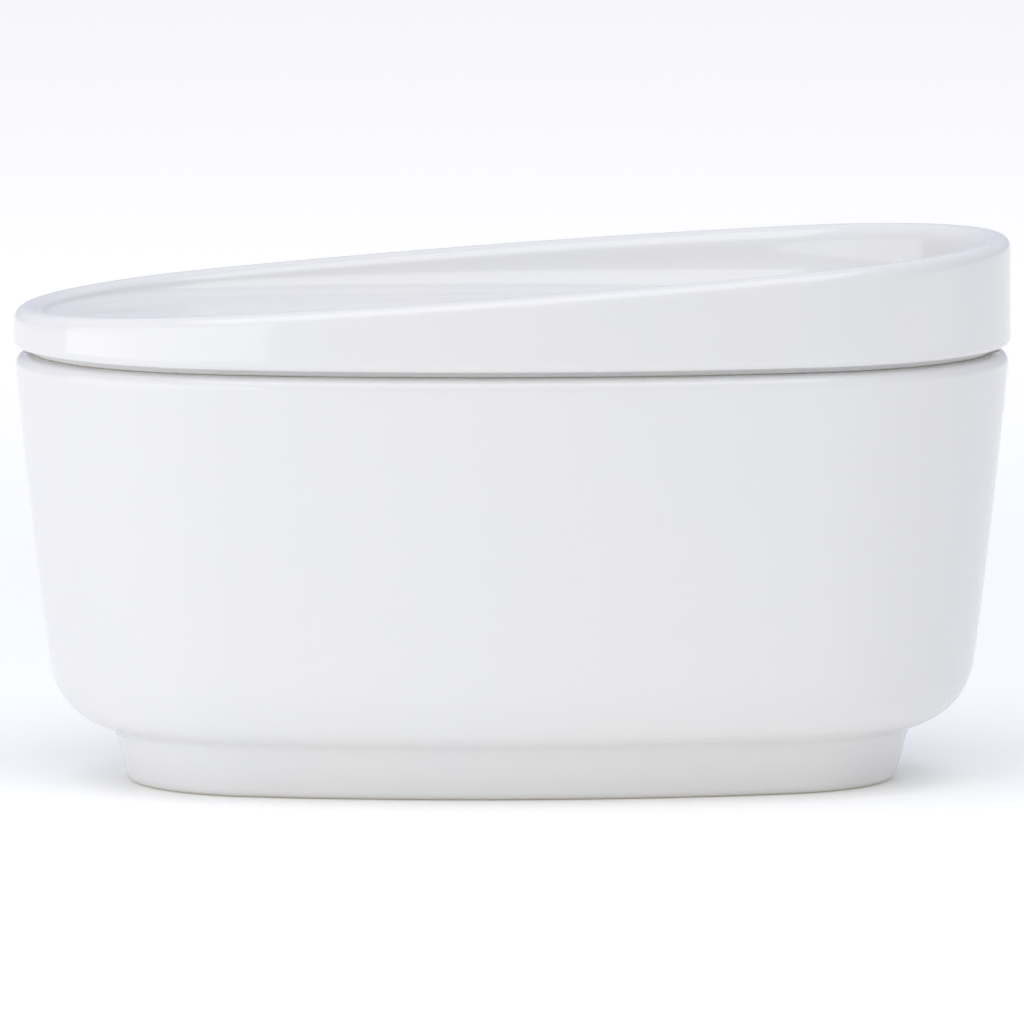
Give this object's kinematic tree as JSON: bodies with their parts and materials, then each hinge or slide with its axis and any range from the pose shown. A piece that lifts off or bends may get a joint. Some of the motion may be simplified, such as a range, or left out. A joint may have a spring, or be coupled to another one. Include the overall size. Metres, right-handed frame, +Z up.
{
  "type": "lidded oval dish",
  "caption": "Small oval porcelain dish on a low stepped foot, with a loose lid whose dished top has a rim that climbs towards one end.",
  "frame": {"origin": "centre of the oval, on the plane that the foot ring stands on", "axes": "+X along the oval towards the high end of the lid's rim, +Z up, -Y the long side seen from the front"},
  "size_m": [0.13, 0.077, 0.071],
  "materials": {
    "white_porcelain": "gloss white glaze, bare fired body only on the ring that it stands on"
  },
  "bodies": {
    "bowl": {"bowl": "white_porcelain"},
    "lid": {"lid": "white_porcelain"}
  },
  "joints": [
    {"name": "lid_lift", "type": "slide", "parent": "bowl", "child": "lid", "axis": [0, 0, 1], "range_m": [0, 0.08]}
  ]
}
